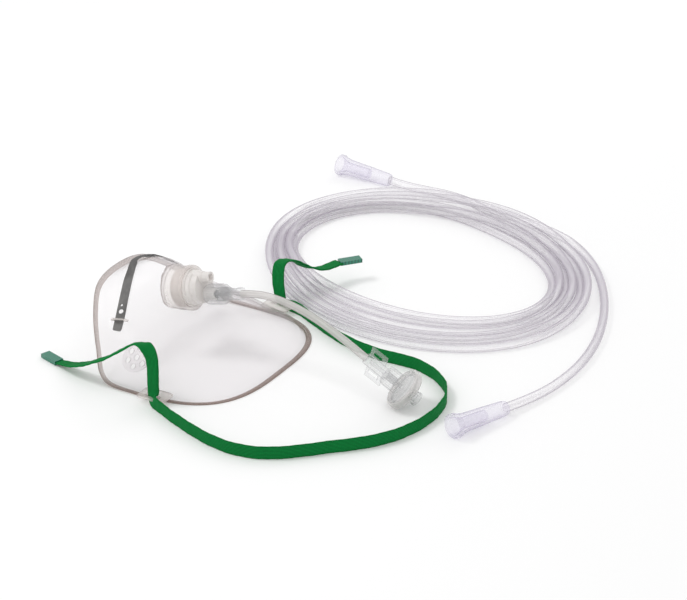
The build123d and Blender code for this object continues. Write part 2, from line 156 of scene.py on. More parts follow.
def make_floor():
    size = 6.0
    mesh = bpy.data.meshes.new("floor")
    corners = [(-size, -size, 0), (size, -size, 0), (size, size, 0), (-size, size, 0)]
    mesh.from_pydata(corners, [], [(0, 1, 2, 3)])
    floor = bpy.data.objects.new("floor", mesh)
    bpy.context.scene.collection.objects.link(floor)
    material = bpy.data.materials.new("floor")
    material.use_nodes = True
    shader = material.node_tree.nodes["Principled BSDF"]
    shader.inputs["Base Color"].default_value = (0.93, 0.93, 0.93, 1)
    shader.inputs["Roughness"].default_value = 0.9
    shader.inputs["Specular IOR Level"].default_value = 0.0
    mesh.materials.append(material)


def area_light(name, place, aim, size, power):
    data = bpy.data.lights.new(name, "AREA")
    data.shape = "DISK"
    data.size = size
    data.energy = power
    light = bpy.data.objects.new(name, data)
    light.location = place
    light.rotation_euler = (Vector(aim) - Vector(place)).to_track_quat("-Z", "Y").to_euler()
    bpy.context.scene.collection.objects.link(light)


def make_light():
    world = bpy.data.worlds.new("studio")
    bpy.context.scene.world = world
    world.use_nodes = True
    world.node_tree.nodes["Background"].inputs["Color"].default_value = (1, 1, 1, 1)
    world.node_tree.nodes["Background"].inputs["Strength"].default_value = 0.78
    middle = (0.05, 0.08, 0.0)
    area_light("key", (-0.7, -0.35, 1.3), middle, 0.5, 6)
    area_light("fill", (0.9, -0.9, 0.9), middle, 1.0, 2)
    area_light("rim", (0.1, 1.2, 0.8), middle, 0.9, 2.4)
    bpy.context.scene.view_settings.view_transform = "Standard"


# ---------------------------------------------------------------- materials
class Nodes:
    """Short way to write a node tree."""

    def __init__(self, name):
        self.material = bpy.data.materials.new(name)
        self.material.use_nodes = True
        self.tree = self.material.node_tree
        self.shader = self.tree.nodes["Principled BSDF"]
        self.output = self.tree.nodes["Material Output"]

    def add(self, kind, inputs=None, **settings):
        node = self.tree.nodes.new("ShaderNode" + kind)
        for key, value in settings.items():
            setattr(node, key, value)
        for key, value in (inputs or {}).items():
            if isinstance(value, bpy.types.NodeSocket):
                self.tree.links.new(value, node.inputs[key])
            else:
                node.inputs[key].default_value = value
        return node

    def link(self, source, node, key):
        self.tree.links.new(source, node.inputs[key])

    def math(self, operation, a, b=0.0, clamp=False):
        node = self.add("Math", {0: a, 1: b}, operation=operation, use_clamp=clamp)
        return node.outputs[0]

    def noise(self, scale, detail=3.0, rough=0.5, vector=None):
        if vector is None:
            vector = self.add("TexCoord").outputs["Object"]
        return self.add("TexNoise", {"Vector": vector, "Scale": scale, "Detail": detail,
                                     "Roughness": rough}).outputs["Fac"]

    def ramp(self, factor, stops, mode="LINEAR"):
        node = self.add("ValToRGB", {"Fac": factor})
        node.color_ramp.interpolation = mode
        elements = node.color_ramp.elements
        while len(elements) < len(stops):
            elements.new(0.5)
        for element, (place, colour) in zip(elements, stops):
            element.position = place
            element.color = (*colour, 1) if len(colour) == 3 else colour
        return node.outputs["Color"]

    def bump(self, height, strength, distance):
        node = self.add("Bump", {"Height": height, "Strength": strength, "Distance": distance})
        return node.outputs["Normal"]


def clear_vinyl(name, body, edge, open_face=0.12, open_edge=0.8, power=2.2, rough=0.09, see=(1, 1, 1),
                ripple=0.25, ripple_scale=60.0, shine=0.3):
    """Clear soft plastic: nearly open face on, tinted and denser where it is seen edge on."""
    n = Nodes(name)
    facing = n.add("LayerWeight", {"Blend": 0.5}).outputs["Facing"]
    curve = n.math("POWER", facing, power)
    cloud = n.noise(ripple_scale * 0.35, 2.0)
    n.link(n.ramp(curve, [(0.0, body), (1.0, edge)]), n.shader, "Base Color")
    n.shader.inputs["Roughness"].default_value = rough
    n.shader.inputs["Specular IOR Level"].default_value = shine
    height = n.noise(ripple_scale, 2.0)
    n.link(n.bump(height, ripple, 0.0006), n.shader, "Normal")
    spread = n.math("MULTIPLY_ADD", curve, open_edge - open_face)
    spread.node.inputs[2].default_value = open_face
    cover = n.math("ADD", spread, n.math("MULTIPLY", cloud, 0.05), clamp=True)
    clear = n.add("BsdfTransparent", {"Color": (*see, 1)})
    mix = n.add("MixShader", {0: cover, 1: clear.outputs[0], 2: n.shader.outputs[0]})
    n.link(mix.outputs[0], n.output, "Surface")
    return n.material


def tube_vinyl(name, body, edge, bore, see, cover_face=0.2, cover_bore=0.55, cover_edge=0.75):
    """Clear tube wall: lighter down the middle, darker lines at the bore's sides and at the edge."""
    n = Nodes(name)
    facing = n.add("LayerWeight", {"Blend": 0.5}).outputs["Facing"]
    shade = n.ramp(facing, [(0.0, body), (0.12, body), (0.24, bore), (0.36, body), (0.62, edge), (1.0, edge)])
    n.link(shade, n.shader, "Base Color")
    n.shader.inputs["Roughness"].default_value = 0.12
    n.shader.inputs["Specular IOR Level"].default_value = 0.35
    height = n.noise(45.0, 2.0)
    n.link(n.bump(height, 0.2, 0.0005), n.shader, "Normal")
    grey = [(v, v, v) for v in (cover_face, cover_bore, cover_edge)]
    cover = n.ramp(facing, [(0.0, grey[0]), (0.13, grey[0]), (0.24, grey[1]), (0.36, grey[0]), (0.6, grey[2]),
                            (1.0, grey[2])])
    clear = n.add("BsdfTransparent", {"Color": (*see, 1)})
    mix = n.add("MixShader", {0: cover, 1: clear.outputs[0], 2: n.shader.outputs[0]})
    n.link(mix.outputs[0], n.output, "Surface")
    return n.material


def woven_elastic():
    """Green woven elastic: lengthwise ribs crossed by fine weft, with painted shade that darkens the valleys.
    """
    n = Nodes("woven_elastic")
    uv = n.add("TexCoord").outputs["UV"]
    parts = n.add("SeparateXYZ", {0: uv})
    across, along = parts.outputs[0], parts.outputs[1]
    ribs = n.math("SINE", n.math("MULTIPLY", across, 2 * math.pi * 9))
    shift = n.math("MULTIPLY", n.math("SIGN", ribs), math.pi * 0.5)
    weft = n.math("SINE", n.math("ADD", n.math("MULTIPLY", along, 2 * math.pi / 0.0011), shift))
    weave = n.math("MULTIPLY_ADD", n.math("MULTIPLY", weft, 0.5), 0.5)
    weave.node.inputs[2].default_value = 0.5
    rib_height = n.math("MULTIPLY_ADD", ribs, 0.5)
    rib_height.node.inputs[2].default_value = 0.5
    height = n.math("ADD", n.math("MULTIPLY", rib_height, 0.65), n.math("MULTIPLY", weave, 0.35))
    stretch = n.add("Mapping", {"Vector": uv, "Scale": (9.0, 160.0, 1.0)})
    fuzz = n.noise(3.0, 4.0, 0.6, vector=stretch.outputs[0])
    # colour: painted shade from the weave's height, darker in the valleys, plus random tone from the fuzz
    tone = n.math("ADD", n.math("MULTIPLY", height, 0.7), n.math("MULTIPLY", fuzz, 0.45))
    colour = n.ramp(tone, [(0.15, (0.0, 0.035, 0.009)), (0.55, (0.0, 0.155, 0.028)),
                           (0.95, (0.006, 0.290, 0.062))])
    n.link(colour, n.shader, "Base Color")
    n.shader.inputs["Roughness"].default_value = 0.78
    n.shader.inputs["Specular IOR Level"].default_value = 0.12
    n.shader.inputs["Sheen Weight"].default_value = 0.06
    n.shader.inputs["Sheen Roughness"].default_value = 0.4
    n.shader.inputs["Sheen Tint"].default_value = (0.05, 0.9, 0.3, 1)
    n.link(n.bump(height, 0.8, 0.00025), n.shader, "Normal")
    return n.material


def frosted_plastic(name, colour, line, cover=0.8, rough=0.42):
    """Milky moulded plastic: a little see-through, warmer and denser towards its edges."""
    n = Nodes(name)
    facing = n.add("LayerWeight", {"Blend": 0.4}).outputs["Facing"]
    cloud = n.noise(140.0, 3.0)
    soft = n.math("ADD", n.math("MULTIPLY", facing, 0.8), n.math("MULTIPLY", cloud, 0.25))
    shade = n.ramp(soft, [(0.1, colour), (0.75, colour), (1.0, line)])
    n.link(shade, n.shader, "Base Color")
    n.shader.inputs["Roughness"].default_value = rough
    n.shader.inputs["Coat Weight"].default_value = 0.15
    n.shader.inputs["Coat Roughness"].default_value = 0.25
    n.link(n.bump(n.noise(900.0, 4.0), 0.25, 0.00008), n.shader, "Normal")
    opacity = n.math("MULTIPLY_ADD", soft, 0.3, clamp=True)
    opacity.node.inputs[2].default_value = cover - 0.1
    clear = n.add("BsdfTransparent", {"Color": (1.0, 0.98, 0.97, 1)})
    mix = n.add("MixShader", {0: opacity, 1: clear.outputs[0], 2: n.shader.outputs[0]})
    n.link(mix.outputs[0], n.output, "Surface")
    return n.material


def brushed_strip():
    """Soft aluminium strip: fine lengthwise brushing, a few darker smears."""
    n = Nodes("brushed_strip")
    spot = n.add("TexCoord").outputs["Object"]
    stretch = n.add("Mapping", {"Vector": spot, "Rotation": (0, 0, math.radians(70)),
                                "Scale": (1400, 45, 700)})
    lines = n.noise(1.0, 4.0, 0.6, vector=stretch.outputs[0])
    smear = n.noise(110.0, 3.0)
    tone = n.math("ADD", n.math("MULTIPLY", lines, 0.55), n.math("MULTIPLY", smear, 0.45))
    colour = n.ramp(tone, [(0.25, (0.075, 0.072, 0.072)), (0.5, (0.125, 0.122, 0.12)),
                           (0.8, (0.21, 0.205, 0.20))])
    n.link(colour, n.shader, "Base Color")
    n.shader.inputs["Metallic"].default_value = 0.45
    n.shader.inputs["Specular IOR Level"].default_value = 0.2
    n.link(n.ramp(tone, [(0.0, (0.42,) * 3), (1.0, (0.58,) * 3)]), n.shader, "Roughness")
    n.link(n.bump(lines, 0.35, 0.00005), n.shader, "Normal")
    return n.material


def crimped_film():
    """Thin green film crimped round the strap's end, with painted shade that darkens the crimp's folds."""
    n = Nodes("crimped_film")
    spot = n.add("TexCoord").outputs["Object"]
    wave = n.add("TexWave", {"Vector": spot, "Scale": 260.0, "Distortion": 2.0, "Detail": 2.0}).outputs["Fac"]
    # colour follows the crimp wave: painted shade in the folds, lighter on the ridges
    colour = n.ramp(wave, [(0.0, (0.0, 0.09, 0.05)), (1.0, (0.01, 0.24, 0.15))])
    n.link(colour, n.shader, "Base Color")
    n.shader.inputs["Roughness"].default_value = 0.3
    n.shader.inputs["Coat Weight"].default_value = 0.4
    n.link(n.bump(wave, 0.5, 0.0001), n.shader, "Normal")
    return n.material


def porous_film():
    """White filter membrane: dull, with a fine porous grain."""
    n = Nodes("porous_film")
    grain = n.noise(2200.0, 5.0, 0.7)
    n.link(n.ramp(grain, [(0.2, (0.80, 0.80, 0.79)), (0.8, (0.92, 0.92, 0.91))]), n.shader, "Base Color")
    n.shader.inputs["Roughness"].default_value = 0.85
    n.link(n.bump(grain, 0.4, 0.00006), n.shader, "Normal")
    return n.material


# ---------------------------------------------------------------- cords
LEAD_A_ROUTE = [(-8, 245.7, 3.4), (6, 247.5, 2.6), (20, 248.5, 2.55), (34, 246.5, 2.55), (47, 241, 2.55)]
LEAD_B_ROUTE = [(104, 230, 2.9), (126, 216, 2.55), (146, 195, 2.55), (163, 168, 2.55), (175.5, 140, 2.55),
                (184, 112, 2.55), (188, 84, 2.55), (187, 58, 2.55), (182.5, 36, 2.9)]
CUFF_A_MOUTH, CUFF_A_HEADING = Vector((-56.0, 248.0, 6.65)), Vector((37.0, -1.8, -2.4)).normalized()
CUFF_B_MOUTH, CUFF_B_HEADING = Vector((164.0, -18.0, 6.65)), Vector((12.2, 34.9, -2.4)).normalized()
COIL_OUTER = ((59.8, 147.3), 108.4, 88.3, -28.9)
COIL_INNER = ((52.0, 154.1), 86.6, 59.1, -17.7)
COIL_HUB = (56.0, 150.0)
TURN_TRACKS = [4, 2, 0, 1, 3, 5]      # place of each turn between the inner edge (0) and the outer (5)
TURN_LAYERS = [0, 0, 0, 1, 1, 1]
LAST_TURN = len(TURN_TRACKS) - 1
FIRST_ANGLE = 75.0
STEP = 15.0
SWITCH = 60.0                         # degrees before the end of a turn in which it changes track
CLEAR_OF_NEXT = 5.1                  # between the middles of turns that touch
FLOOR_GAP = 0.05
LOOSENESS = [0.9, -0.7, 0.5, -0.9, 0.8, -0.6]


def oval_radius(edge, angle):
    """Distance from the coil's hub to one of its oval edges, in a direction."""
    (cx, cy), long_r, short_r, heading = edge
    turn = math.radians(heading)
    u, v = (math.cos(turn), math.sin(turn)), (-math.sin(turn), math.cos(turn))
    from_x, from_y = COIL_HUB[0] - cx, COIL_HUB[1] - cy
    way = (math.cos(angle), math.sin(angle))
    pu, pv = (from_x * u[0] + from_y * u[1]) / long_r, (from_x * v[0] + from_y * v[1]) / short_r
    du, dv = (way[0] * u[0] + way[1] * u[1]) / long_r, (way[0] * v[0] + way[1] * v[1]) / short_r
    a, b, c = du * du + dv * dv, pu * du + pv * dv, pu * pu + pv * pv - 1
    return (-b + math.sqrt(b * b - a * c)) / a


def smooth_step(t):
    """Rises from 0 to 1 with level ends."""
    t = min(max(t, 0.0), 1.0)
    return t * t * (3 - 2 * t)


def coil_turns():
    """Six loose turns: three on the floor, working inwards, and three over them, working out."""
    points = []
    steps = int(len(TURN_TRACKS) * 360 / STEP)
    for i in range(steps - 1):
        swept = i * STEP
        turn, within = divmod(swept, 360.0)
        turn = int(turn)
        k = smooth_step((within - (360 - SWITCH)) / SWITCH) if turn < LAST_TURN else 0.0
        after = min(turn + 1, LAST_TURN)
        track = TURN_TRACKS[turn] * (1 - k) + TURN_TRACKS[after] * k
        layer = TURN_LAYERS[turn] * (1 - k) + TURN_LAYERS[after] * k
        angle = math.radians(FIRST_ANGLE - swept)
        outer, inner = oval_radius(COIL_OUTER, angle), oval_radius(COIL_INNER, angle)
        spare = max(0.0, (SUPPLY_D + 2.5 * CLEAR_OF_NEXT - (outer - inner)) / 2)
        outer, inner = outer + spare * 0.4, inner - spare * 1.6
        gap = (outer - inner - SUPPLY_D) / LAST_TURN
        loose = LOOSENESS[turn] * (1 - k) + LOOSENESS[after] * k
        sway = loose * max(0.25, min(1.8, gap - 3.6)) * math.sin(angle * 2 + turn * 1.1)
        radius = inner + SUPPLY_D / 2 + track * gap + (sway if within > STEP * 2 or turn else 0)
        lift = math.sqrt(max(0.0, CLEAR_OF_NEXT ** 2 - gap ** 2))
        crossing = smooth_step((within - (340 - SWITCH)) / 20) + smooth_step((30 - within) / 20)
        lift = lift + (CLEAR_OF_NEXT - lift) * min(1.0, crossing)
        points.append((COIL_HUB[0] + radius * math.cos(angle), COIL_HUB[1] + radius * math.sin(angle),
                       SUPPLY_D / 2 + FLOOR_GAP + layer * lift))
    return points


def make_supply_tube(material):
    """Oxygen supply tube, one cord from cuff to cuff through the coil."""
    tail_a = CUFF_A_MOUTH + CUFF_A_HEADING * CUFF_LENGTH
    tail_b = CUFF_B_MOUTH + CUFF_B_HEADING * CUFF_LENGTH
    route = metres([tail_a] + LEAD_A_ROUTE + coil_turns() + LEAD_B_ROUTE + [tail_b])
    data = nurbs_line("supply_tube", route, SUPPLY_D / 2 * MM)
    data.materials.append(material)
    tube = new_object("supply_tube", data, "supply_set")
    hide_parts("supply_tube_coil", "supply_tube_lead_a", "supply_tube_lead_b")
    return tube, route


SAMPLE_MIDDLE = [(37, 0, 42.8), (48.4, -0.6, 43.4), (61.6, -2.7, 42.7), (75.8, -6.6, 41.3),
                 (90.1, -10.5, 38.3), (101.7, -12.5, 34.0)]
ADAPTER_END = 30.5


def make_sample_tube(material):
    """Gas sampling tube, from the luer adapter to the winged luer."""
    face = LIP_CENTRE + AXIS * ADAPTER_END + AXIS_UP * PORT_OFFSET
    route = metres([face] + SAMPLE_MIDDLE + [LINE_ENTRY])
    data = nurbs_line("sample_tube_line", route, SAMPLE_D / 2 * MM)
    data.materials.append(material)
    tube = new_object("sample_tube_line", data, "sampling_line")
    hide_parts("sample_tube")
    return tube, route


# The strap, from the near tip through both ears to the far tip: place, and which way its width runs.
LEVEL, UPRIGHT = "level", (0, 0, 1)
STRAP_ROUTE = [
    ((-56, -52, 1.5), LEVEL), ((-43, -56.4, 4.6), LEVEL), ((-30, -59.4, 11), LEVEL),
    ((-16, -60.8, 19), LEVEL), ((-4.5, -60.4, 28), (0.5, 1, 0.4)), ((5.5, -62, 33.5), (1, 0.8, -0.2)),
    ((12, -63.1, 29), (1, 0.3, 0)), ((12.5, -63.2, 20), (1, 0, 0)), ((12.5, -63.2, 11), (1, 0, 0)),
    ((12.6, -63.8, 5.2), (1, 0, 0.5)), ((14.0, -66.2, 3.7), (0.6, 0, 1)), ((18, -69, 3.65), UPRIGHT),
    ((28, -74, 3.65), UPRIGHT), ((42, -80, 3.65), UPRIGHT), ((60, -86.5, 3.65), UPRIGHT),
    ((77, -89, 3.65), UPRIGHT), ((92, -85.5, 3.65), UPRIGHT), ((105, -76, 3.65), UPRIGHT),
    ((118, -62.5, 3.65), UPRIGHT), ((130, -51.5, 3.65), UPRIGHT), ((140.5, -37, 3.65), UPRIGHT),
    ((146.5, -19, 3.65), UPRIGHT), ((147.5, -1, 3.65), UPRIGHT), ((144, 14, 3.65), UPRIGHT),
    ((136, 26, 3.65), UPRIGHT), ((123, 35, 3.65), UPRIGHT), ((109, 39, 3.65), UPRIGHT),
    ((93, 37.5, 3.65), UPRIGHT), ((77, 39.5, 3.65), UPRIGHT), ((60, 45.2, 3.65), UPRIGHT),
    ((44, 53.2, 3.65), UPRIGHT), ((30, 60.8, 3.65), UPRIGHT), ((22, 65, 3.65), (0.3, 0, 1)),
    ((15.5, 65.4, 3.2), (0.8, 0, 0.8)), ((12.9, 63.8, 4.6), (1, 0, 0.2)), ((12.5, 63.2, 9), (1, 0, 0)),
    ((9, 66, 18), (1, 0.1, 0)), ((6.5, 73, 25.5), (1, 0.1, 0)), ((8, 84, 22), (0.8, -0.5, 0.3)),
    ((11.5, 90.5, 16.5), (0.7, -0.6, 0.7)), ((17.5, 95, 13.4), (0.8, -0.6, 0.2)),
    ((20.5, 103.5, 12.6), LEVEL), ((22.7, 111.5, 12.5), LEVEL),
]


def strap_lines():
    """Centre line of the strap, and a line beside it that gives the way its width runs."""
    places = [Vector(place) for place, _ in STRAP_ROUTE]
    beside = []
    for i, (_, way) in enumerate(STRAP_ROUTE):
        heading = places[min(i + 1, len(places) - 1)] - places[max(i - 1, 0)]
        if way == LEVEL:
            way = (-heading.y, heading.x, 0)
            if i > len(places) / 2:
                way = (heading.y, -heading.x, 0)
        beside.append(places[i] + Vector(way).normalized() * 3.0)
    return line_points(metres(places)), line_points(metres(beside))


def make_strap(material):
    """Elastic strap, a thin ribbon along its centre line."""
    centre, beside = strap_lines()
    half_w, half_t = STRAP_WIDTH / 2 * MM, STRAP_THICK / 2 * MM
    outline = [(-1, -0.55), (-0.93, -1), (-0.5, -1), (0, -1), (0.5, -1), (0.93, -1), (1, -0.55),
               (1, 0.55), (0.93, 1), (0.5, 1), (0, 1), (-0.5, 1), (-0.93, 1), (-1, 0.55)]
    points, faces, along = [], [], [0.0]
    for i, place in enumerate(centre):
        tangent = (centre[min(i + 1, len(centre) - 1)] - centre[max(i - 1, 0)]).normalized()
        wanted = beside[i] - place
        side = (wanted - tangent * wanted.dot(tangent)).normalized()
        face = tangent.cross(side)
        if i:
            along.append(along[-1] + (place - centre[i - 1]).length)
        s = along[-1]
        narrow = 1.0 - 0.3 * smooth_step(1 - s / 0.02)
        wave = 0.00012 * math.sin(s * 420) + 0.00008 * math.sin(s * 1130 + 1)
        for a, b in outline:
            points.append(place + side * (a * half_w * narrow) + face * (b * half_t + wave))
    count = len(outline)
    for i in range(len(centre) - 1):
        for j in range(count):
            k = (j + 1) % count
            faces.append((i * count + j, i * count + k, (i + 1) * count + k, (i + 1) * count + j))
    last = (len(centre) - 1) * count
    faces.append(tuple(range(count))[::-1])
    faces.append(tuple(range(last, last + count)))
    strap = mesh_object("head_strap", [p / MM for p in points], faces, "mask", material)
    layer = strap.data.uv_layers.new(name="UVMap")
    for loop in strap.data.loops:
        row, spot = divmod(loop.vertex_index, count)
        layer.data[loop.index].uv = (outline[spot][0] * 0.5 + 0.5, along[row])
    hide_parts("strap_loop", "strap_near_end", "strap_far_end")
    print("strap", round(along[-1], 3))
    return strap, centre


# ---------------------------------------------------------------- turned pieces
def axis_frame(start, direction):
    """Frame whose z runs along a direction and whose x is as near level as can be."""
    z = Vector(direction).normalized()
    x = (Vector((0, 1, 0)) - z * z.y).normalized()
    y = z.cross(x)
    frame_matrix = Matrix((x, y, z)).transposed().to_4x4()
    frame_matrix.translation = Vector(start)
    return frame_matrix


def turned_mesh(stations, start, direction, segments=72, closed=True):
    """Points and faces of a turned ring from (along, radius) stations that go round its section."""
    place = axis_frame(start, direction)
    points, faces = [], []
    for s, r in stations:
        for j in range(segments):
            angle = 2 * math.pi * j / segments
            points.append(place @ Vector((r * math.cos(angle), r * math.sin(angle), s)))
    rows = len(stations)
    for i in range(rows if closed else rows - 1):
        for j in range(segments):
            k = (j + 1) % segments
            a, b = i * segments, ((i + 1) % rows) * segments
            faces.append((a + j, a + k, b + k, b + j))
    return points, faces


def rounded(stations, radius=0.35):
    """Section with each corner replaced by a short curve."""
    result = []
    count = len(stations)
    for i, corner in enumerate(stations):
        here = Vector((*corner, 0))
        before, after = Vector((*stations[i - 1], 0)), Vector((*stations[(i + 1) % count], 0))
        a = before - here
        b = after - here
        cut = min(radius, a.length * 0.45, b.length * 0.45)
        first, last = here + a.normalized() * cut, here + b.normalized() * cut
        for t in (0.0, 0.33, 0.67, 1.0):
            p = first * (1 - t) ** 2 + here * 2 * t * (1 - t) + last * t * t
            result.append((p.x, p.y))
    return result


def turned_piece(name, stations, start, direction, body, material, radius=0.35, segments=72):
    points, faces = turned_mesh(rounded(stations, radius), start, direction, segments)
    return mesh_object(name, points, faces, body, material)


# ---------------------------------------------------------------- mask shell
COLUMNS = 288
RIM_HEIGHT = 6.0
WALL = 1.3
ARCH_FOOT_X = -22
ARCH_SLOPE = 0.79
ARCH_LEAN = math.atan(ARCH_SLOPE)
ARCH_NORMAL = np.array([math.cos(ARCH_LEAN), 0.0, math.sin(ARCH_LEAN)])
CORNER_SOFT = 4.0
# The band and lip below the shell: height above the rim, and how far out.
RIM_PROFILE = [(5.3, 0), (4.95, 0.08), (4.7, 0.45), (4.5, 0.85), (4.2, 1.0), (3.0, 1.0), (1.9, 1.0),
               (1.45, 1.1), (1.28, 1.45), (1.2, 1.9), (1.0, 2.15), (0.6, 2.2), (0.2, 2.12), (0.03, 1.85)]
MAIN_ROWS = 84
CROWN_RISE = 1.5
HUB_X = -25.0                 # columns run out from this line, which is inside every section


def level_values(z):
    """Section values at a height, on a smooth curve through the levels."""
    table = np.array(LEVELS, float)
    heights = table[:, 0]
    i = int(np.clip(np.searchsorted(heights, z) - 1, 0, len(heights) - 2))
    slopes = np.gradient(table, heights, axis=0)
    span = heights[i + 1] - heights[i]
    t = (z - heights[i]) / span
    h00, h10 = 2 * t ** 3 - 3 * t ** 2 + 1, t ** 3 - 2 * t ** 2 + t
    h01, h11 = -2 * t ** 3 + 3 * t ** 2, t ** 3 - t ** 2
    return (h00 * table[i] + h10 * span * slopes[i] + h01 * table[i + 1] + h11 * span * slopes[i + 1])[1:]


def section_curve(z, samples=900):
    """Half of the closed section at a height, as dense points with y above zero."""
    wide_x, nose_x, chin_x, half, nose_e, chin_e = level_values(z)
    angle = np.linspace(0, math.pi, samples)
    c, s = np.cos(angle), np.sin(angle)
    chin = c > 0
    reach = np.where(chin, chin_x - wide_x, wide_x - nose_x)
    power = np.where(chin, chin_e, nose_e)
    x = wide_x + reach * np.sign(c) * np.abs(c) ** (2 / power)
    y = half * np.abs(s) ** (2 / power)
    return x, y


def rim_angles():
    """Column directions that are evenly spaced round the rim."""
    x, y = section_curve(0.0, 4000)
    run = np.concatenate([[0], np.cumsum(np.hypot(np.diff(x), np.diff(y)))])
    wanted = np.linspace(0, run[-1], COLUMNS // 2 + 1)
    angles = np.interp(wanted, run, np.arctan2(y, x - HUB_X))
    return np.concatenate([angles, -angles[-2:0:-1]])


def surface_table(angles, heights):
    """Outer surface points for every height and column."""
    rows = []
    for z in heights:
        x, y = section_curve(z)
        spread = np.hypot(x - HUB_X, y)
        direction = np.arctan2(y, x - HUB_X)
        r = np.interp(np.abs(angles), direction, spread)
        row = [HUB_X + r * np.cos(angles), r * np.sin(angles), np.full_like(angles, z)]
        rows.append(np.stack(row, axis=1))
    return np.array(rows)


def rim_distance(points):
    """Height above the rim, which is the floor at the cheeks and chin and the arch's plane at the nose."""
    floor = points[..., 2]
    arch = (points[..., 0] - ARCH_FOOT_X) * ARCH_NORMAL[0] + floor * ARCH_NORMAL[2]
    root = np.sqrt((floor - arch) ** 2 + CORNER_SOFT ** 2)
    return 0.5 * (floor + arch - root), 0.5 * (1 + (floor - arch) / root)


def unit(v):
    """Vectors scaled to length one."""
    return v / np.linalg.norm(v, axis=-1, keepdims=True)


def shell_rows():
    """Rows of the outer and inner surface, from the crown down over the rim and up inside."""
    angles = rim_angles()
    heights = np.linspace(0, LEVELS[-1][0], 461)
    dense = surface_table(angles, heights)
    above, _ = rim_distance(dense)

    def at_rim_height(h):
        z = np.array([np.interp(h, np.maximum.accumulate(column) + 1e-6 * np.arange(len(heights)), heights)
                      for column in above.T])
        return at_height(z)

    def at_height(z):
        place = np.clip(z / heights[1], 0, len(heights) - 1.001)
        low = place.astype(int)
        part = (place - low)[:, None]
        columns = np.arange(len(angles))
        return dense[low, columns] * (1 - part) + dense[low + 1, columns] * part

    start = at_rim_height(RIM_HEIGHT)
    crown_z = LEVELS[-1][0]
    main = [at_height(start[:, 2] + (crown_z - start[:, 2]) * v) for v in np.linspace(1, 0, MAIN_ROWS)]
    crown_middle = np.array([(LEVELS[-1][2] + LEVELS[-1][3]) / 2, 0, 0])
    dome = []
    for a in np.radians([78, 62, 46, 30, 15]):
        ring = (main[0] - crown_middle) * math.cos(a) + crown_middle
        ring[:, 2] = crown_z + CROWN_RISE * math.sin(a)
        dome.append(ring)
    outer = dome + main
    for h, out in RIM_PROFILE:
        base = at_rim_height(h)
        outer.append(base + rim_way_out(base) * out)
    base_rows = [at_rim_height(h) for h in (0.03, 0.6, 2.0, 3.5, 5.0)]
    inner = [base - rim_way_out(base) * WALL for base in base_rows]
    grid = np.array(main)
    around = unit(np.roll(grid, -1, axis=1) - np.roll(grid, 1, axis=1))
    down = unit(np.gradient(grid, axis=0))
    normal = unit(np.cross(down, around))
    flip = np.sign((normal[40] * (grid[40] - grid[40].mean(axis=0))).sum())
    inner_main = grid - normal * flip * WALL
    inner += list(inner_main[::-1])
    for ring in dome[::-1]:
        low = ring.copy()
        low[:, 2] -= WALL
        low[:, :2] = crown_middle[:2] + (low[:, :2] - crown_middle[:2]) * 0.87
        inner.append(low)
    return outer, inner, crown_middle


def rim_way_out(points):
    """Direction out from the rim, in the rim's own plane."""
    _, weight = rim_distance(points)
    up = unit((1 - weight)[:, None] * np.array([0, 0, 1.0]) + weight[:, None] * ARCH_NORMAL)
    around = unit(np.roll(points, -1, axis=0) - np.roll(points, 1, axis=0))
    return unit(np.cross(around, up))


def stitched(rows, crown=None, under=None):
    """Points and faces of a stack of closed rows, with an optional point closing each end."""
    count = len(rows[0])
    points = [tuple(p) for row in rows for p in row]
    faces = []
    for i in range(len(rows) - 1):
        for j in range(count):
            k = (j + 1) % count
            faces.append((i * count + j, i * count + k, (i + 1) * count + k, (i + 1) * count + j))
    for end, first in ((crown, 0), (under, (len(rows) - 1) * count)):
        if end is not None:
            points.append(tuple(end))
            tip = len(points) - 1
            for j in range(count):
                k = (j + 1) % count
                faces.append((first + k, first + j, tip) if first == 0 else (first + j, first + k, tip))
    return points, faces


def outward(obj):
    """Makes every face of a closed mesh look outwards."""
    mesh = bmesh.new()
    mesh.from_mesh(obj.data)
    bmesh.ops.recalc_face_normals(mesh, faces=mesh.faces)
    mesh.to_mesh(obj.data)
    mesh.free()


def scratch_object(name, points, faces):
    """Closed tool object for cutting; it is removed once used."""
    mesh = bpy.data.meshes.new(name)
    mesh.from_pydata([tuple(c * MM for c in p) for p in points], [], faces)
    obj = bpy.data.objects.new(name, mesh)
    bpy.context.scene.collection.objects.link(obj)
    outward(obj)
    return obj


def cut(obj, tool, operation="DIFFERENCE"):
    """Applies a boolean to obj and removes the tool."""
    modifier = obj.modifiers.new("cut", "BOOLEAN")
    modifier.operation = operation
    modifier.solver = "EXACT"
    modifier.object = tool
    bpy.context.view_layer.update()
    result = bpy.data.meshes.new_from_object(obj.evaluated_get(bpy.context.evaluated_depsgraph_get()))
    obj.modifiers.clear()
    old = obj.data
    obj.data = result
    bpy.data.meshes.remove(old)
    bpy.data.objects.remove(tool)


def rod(radius, start, direction, length, segments=32):
    """Points and faces of a closed cylinder centred on start."""
    place = axis_frame(start, direction)
    points = [place @ Vector((radius * math.cos(2 * math.pi * j / segments),
                              radius * math.sin(2 * math.pi * j / segments), s))
              for s in (-length / 2, length / 2) for j in range(segments)]
    faces = [(j, (j + 1) % segments, segments + (j + 1) % segments, segments + j) for j in range(segments)]
    faces += [tuple(range(segments))[::-1], tuple(range(segments, 2 * segments))]
    return points, faces


